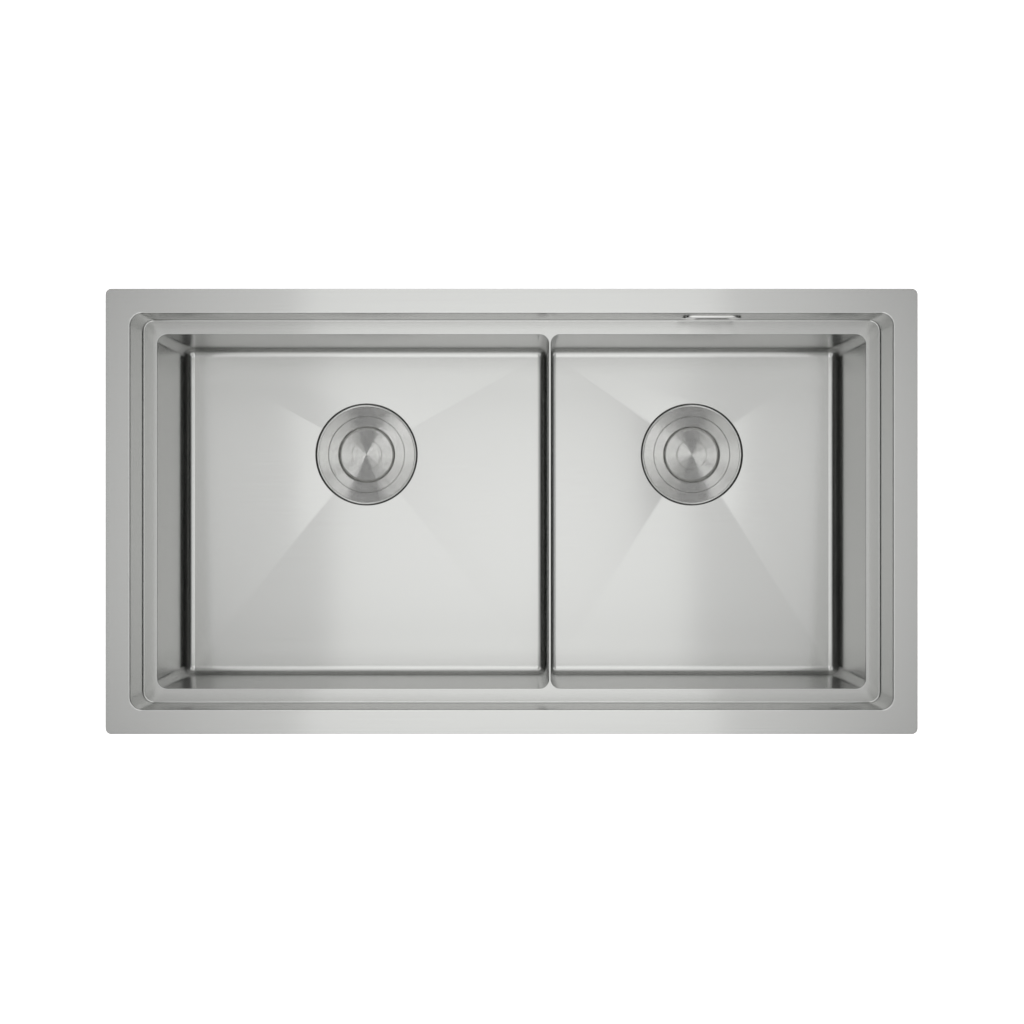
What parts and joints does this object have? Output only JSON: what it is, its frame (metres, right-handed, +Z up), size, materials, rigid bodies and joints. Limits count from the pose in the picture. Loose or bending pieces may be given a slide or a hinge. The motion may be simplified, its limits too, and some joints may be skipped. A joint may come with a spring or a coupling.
{
  "type": "double-bowl kitchen sink",
  "caption": "Rectangular stainless steel sink with a flat rim, a stepped ledge, two bowls of unequal width, creased floors, lidded basket strainers and an overflow.",
  "frame": {"origin": "centre of the rim's underside, the plane that lies on the worktop", "axes": "+X along the length, +Y to the back, +Z up out of the bowls"},
  "size_m": [0.82, 0.45, 0.3032],
  "materials": {
    "brushed_sheet": "fine straight satin brushing",
    "turned_steel": "fine circular turning marks",
    "basket_steel": "satin, perforated",
    "rubber": "smooth black rubber",
    "pad_rubber": "matt grey-black damping rubber",
    "fibre": "plain fibre board",
    "nut_plastic": "moulded white polypropylene",
    "housing_plastic": "moulded white polypropylene"
  },
  "bodies": {
    "sink": {"deck": "brushed_sheet", "left_bowl": "brushed_sheet", "right_bowl": "brushed_sheet", "overflow_trim": "turned_steel", "overflow_gasket": "rubber", "overflow_housing": "housing_plastic", "wall_pads": "pad_rubber", "floor_pads": "pad_rubber", "strainer_bodies": "turned_steel", "flange_gaskets": "rubber", "floor_gaskets": "rubber", "friction_rings": "fibre", "lock_nuts": "nut_plastic"},
    "left_basket": {"left_basket_cup": "basket_steel", "left_pull_post": "turned_steel", "left_plug": "rubber"},
    "left_cover": {"left_lid": "turned_steel", "left_lid_knob": "turned_steel"},
    "right_basket": {"right_basket_cup": "basket_steel", "right_pull_post": "turned_steel", "right_plug": "rubber"},
    "right_cover": {"right_lid": "turned_steel", "right_lid_knob": "turned_steel"}
  },
  "joints": [
    {"name": "left_basket_lift", "type": "slide", "parent": "sink", "child": "left_basket", "axis": [0, 0, 1], "range_m": [0, 0.12]},
    {"name": "left_lid_lift", "type": "slide", "parent": "left_basket", "child": "left_cover", "axis": [0, 0, 1], "range_m": [0, 0.1]},
    {"name": "right_basket_lift", "type": "slide", "parent": "sink", "child": "right_basket", "axis": [0, 0, 1], "range_m": [0, 0.12]},
    {"name": "right_lid_lift", "type": "slide", "parent": "right_basket", "child": "right_cover", "axis": [0, 0, 1], "range_m": [0, 0.1]}
  ]
}
